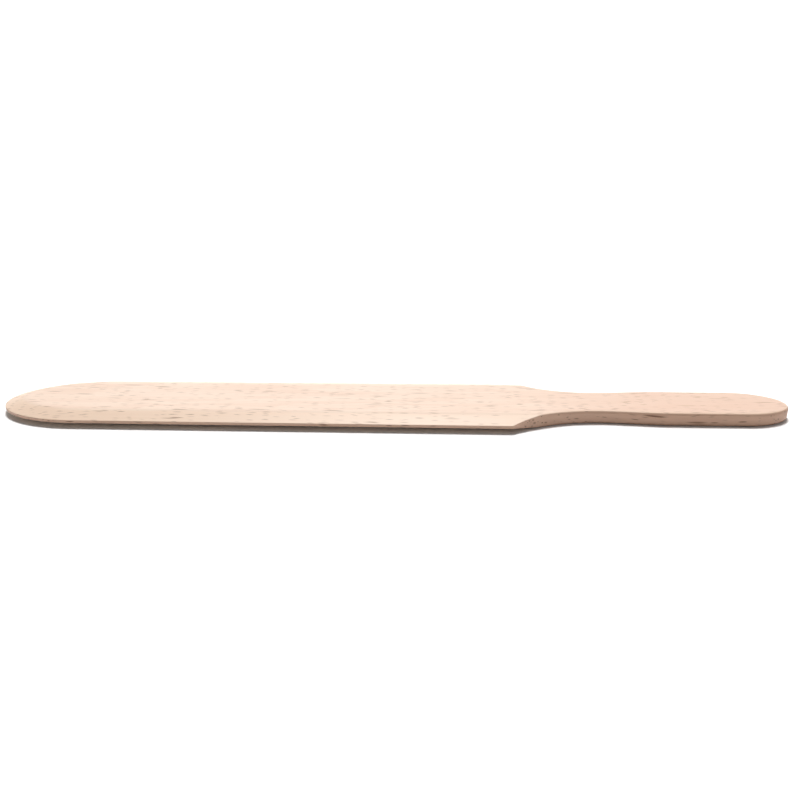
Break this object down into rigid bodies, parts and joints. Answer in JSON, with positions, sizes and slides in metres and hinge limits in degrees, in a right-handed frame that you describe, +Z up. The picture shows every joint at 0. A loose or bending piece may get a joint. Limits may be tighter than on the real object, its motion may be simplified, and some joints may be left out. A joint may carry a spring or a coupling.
{
  "type": "crepe spatula",
  "caption": "Long flat wooden spatula with a round-tipped blade bevelled to a thin edge and a slim rounded handle, for loosening and turning crepes.",
  "frame": {"origin": "middle of the object's length and width, on the underside that it lies on", "axes": "+X along the board from the tip of the blade to the butt of the handle, +Y across the blade, +Z up out of the flat face"},
  "size_m": [0.35, 0.054, 0.0058],
  "materials": {
    "beech": "bare pale beech, planed flat and sanded smooth, not oiled or varnished"
  },
  "bodies": {
    "root": {"spatula": "beech"}
  },
  "joints": []
}
